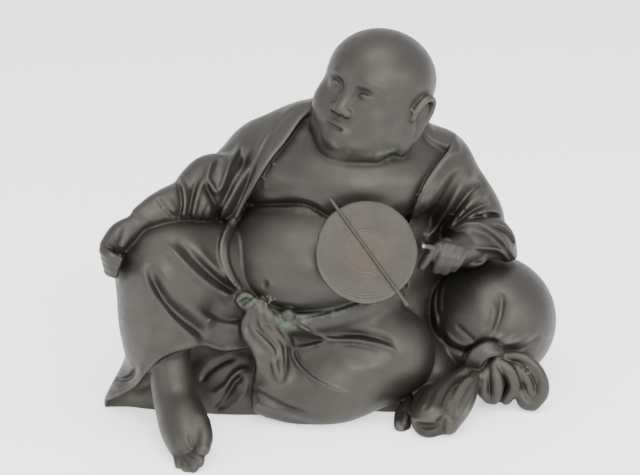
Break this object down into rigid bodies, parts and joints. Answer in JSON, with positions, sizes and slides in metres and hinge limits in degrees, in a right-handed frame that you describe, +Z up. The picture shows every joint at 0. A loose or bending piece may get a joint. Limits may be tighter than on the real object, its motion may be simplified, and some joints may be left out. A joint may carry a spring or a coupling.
{
  "type": "seated hotei statue",
  "caption": "Seated stout bald monk in an open robe, one knee raised, leaning on a tied sack, with a round fan held against the belly; flat underside.",
  "frame": {"origin": "on the ground, under the middle of the whole part's bounding box", "axes": "+X to the viewer's right along the figure's widest extent, the figure's front faces -Y, +Z up"},
  "size_m": [0.3352, 0.2573, 0.2692],
  "materials": {
    "dark bronze": "dark patinated bronze, satin, with green verdigris in the creases",
    "fan bronze": "dark patinated bronze, satin, a little lighter and browner"
  },
  "bodies": {
    "root": {"hotei": "dark bronze", "fan": "fan bronze"}
  },
  "joints": []
}
